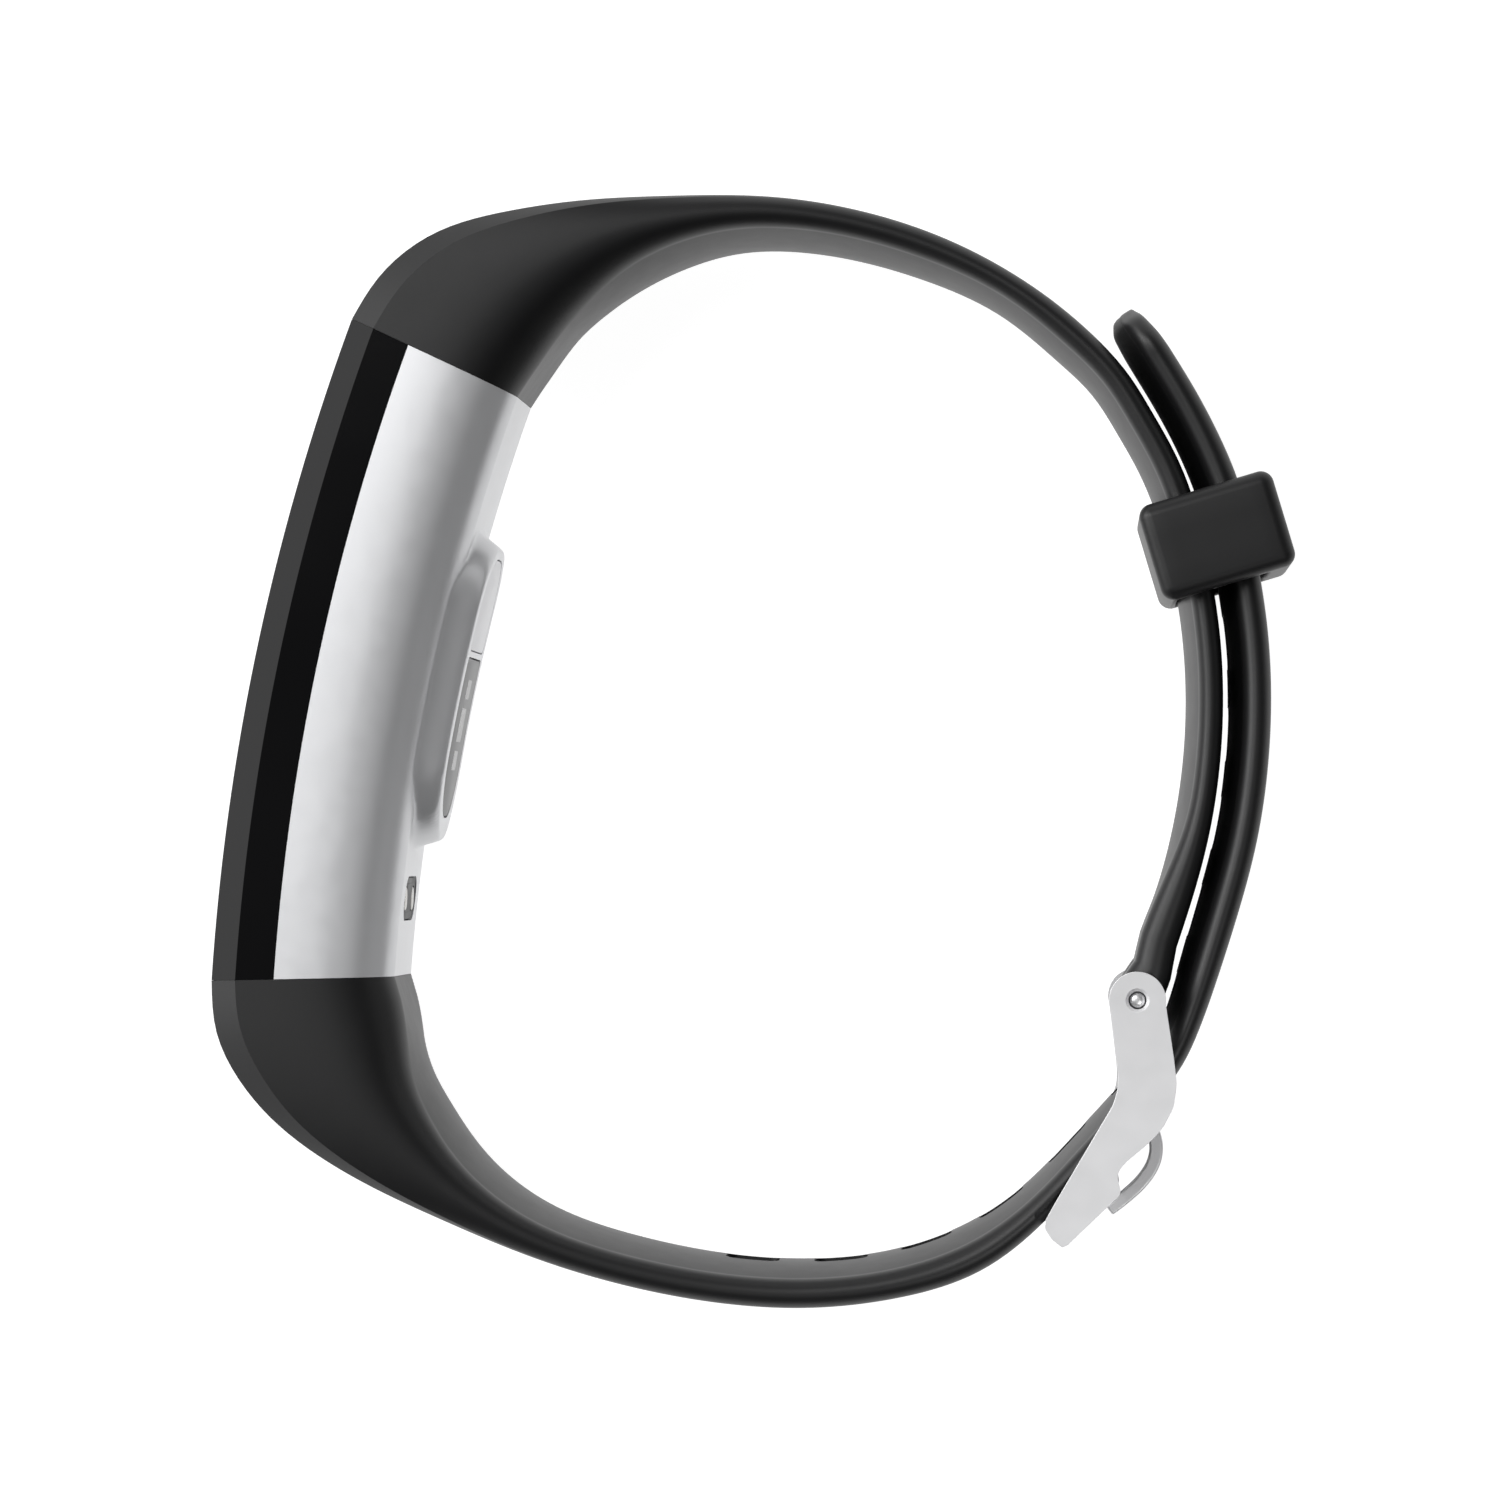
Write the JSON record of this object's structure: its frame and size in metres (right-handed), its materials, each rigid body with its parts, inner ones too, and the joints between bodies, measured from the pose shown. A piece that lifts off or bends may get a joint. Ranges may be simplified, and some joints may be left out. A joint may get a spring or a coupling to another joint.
{
  "type": "fitness tracker band",
  "caption": "Slim wrist activity tracker: curved pod with rear sensors, silicone straps closed by a steel prong buckle and a sliding keeper loop.",
  "frame": {"origin": "centre of the closed band, on the surface it lies on", "axes": "+Z along the loop axis, out of the upper side of the band; +Y towards the upper strap end of the pod; the pod lies towards -X and the buckle and keeper towards +X"},
  "size_m": [0.07, 0.072, 0.02],
  "materials": {
    "black_glass": "polished",
    "seal_rubber": "matte",
    "satin_silver": "satin",
    "light_silver": "satin",
    "dark_window": "polished",
    "black_plastic": "matte",
    "contact_nickel": "plated",
    "silicone_black": "soft matte",
    "polished_steel": "fine satin",
    "spring_steel": "bright",
    "lug_nylon": "matte",
    "panel_dark": "polished",
    "ribbon_amber": "satin",
    "frame_white": "matte",
    "board_green": "satin",
    "chip_black": "matte",
    "shield_tin": "satin",
    "cell_foil": "satin",
    "motor_steel": "satin",
    "tungsten": "sintered",
    "lamp_clear": "clear",
    "diode_dark": "clear"
  },
  "bodies": {
    "band": {"front_cover": "black_glass", "cover_seal": "seal_rubber", "rear_case": "satin_silver", "rear_plate": "light_silver", "optical_window": "dark_window", "contact_seat": "black_plastic", "contact_near": "contact_nickel", "contact_far": "contact_nickel", "display_panel": "panel_dark", "display_ribbon": "ribbon_amber", "inner_frame": "frame_white", "main_board": "board_green", "processor_chip": "chip_black", "radio_shield": "shield_tin", "motion_chip": "chip_black", "battery": "cell_foil", "motor_can": "motor_steel", "motor_cap": "motor_steel", "sensor_board": "board_green", "led_upper": "lamp_clear", "led_lower": "lamp_clear", "photodiode": "diode_dark", "light_barrier": "black_plastic", "upper_strap": "silicone_black", "lower_strap": "silicone_black", "upper_lug": "lug_nylon", "lower_lug": "lug_nylon", "upper_lug_bar": "spring_steel", "lower_lug_bar": "spring_steel", "bar_tube": "polished_steel", "bar_spring": "spring_steel"},
    "keeper": {"keeper": "silicone_black"},
    "buckle": {"buckle_frame": "polished_steel"},
    "prong": {"buckle_prong": "polished_steel"},
    "tip_near": {"bar_tip_near": "spring_steel"},
    "tip_far": {"bar_tip_far": "spring_steel"},
    "motor_weight": {"motor_weight": "tungsten"}
  },
  "joints": [
    {"name": "keeper_slide", "type": "hinge", "parent": "band", "child": "keeper", "pos_m": [-0.01232, 0.00337, 0.01], "axis": [0, 0, 1], "range_deg": [-28, 4]},
    {"name": "buckle_swing", "type": "hinge", "parent": "band", "child": "buckle", "pos_m": [0.02485, -0.01607, 0.01], "axis": [0, 0, 1], "range_deg": [0, 2]},
    {"name": "prong_lift", "type": "hinge", "parent": "buckle", "child": "prong", "pos_m": [0.02485, -0.01607, 0.01], "axis": [0, 0, 1], "range_deg": [0, 1.5]},
    {"name": "bar_tip_near_press", "type": "slide", "parent": "band", "child": "tip_near", "axis": [0, 0, -1], "range_m": [0, 0.0014], "stiffness_N_per_m": 800, "springref_m": -0.001},
    {"name": "bar_tip_far_press", "type": "slide", "parent": "band", "child": "tip_far", "axis": [0, 0, 1], "range_m": [0, 0.0014], "stiffness_N_per_m": 800, "springref_m": -0.001},
    {"name": "motor_spin", "type": "hinge", "parent": "band", "child": "motor_weight", "pos_m": [-0.02679, -0.00502, 0.01], "axis": [0.9781, -0.2079, 0], "continuous": true}
  ]
}
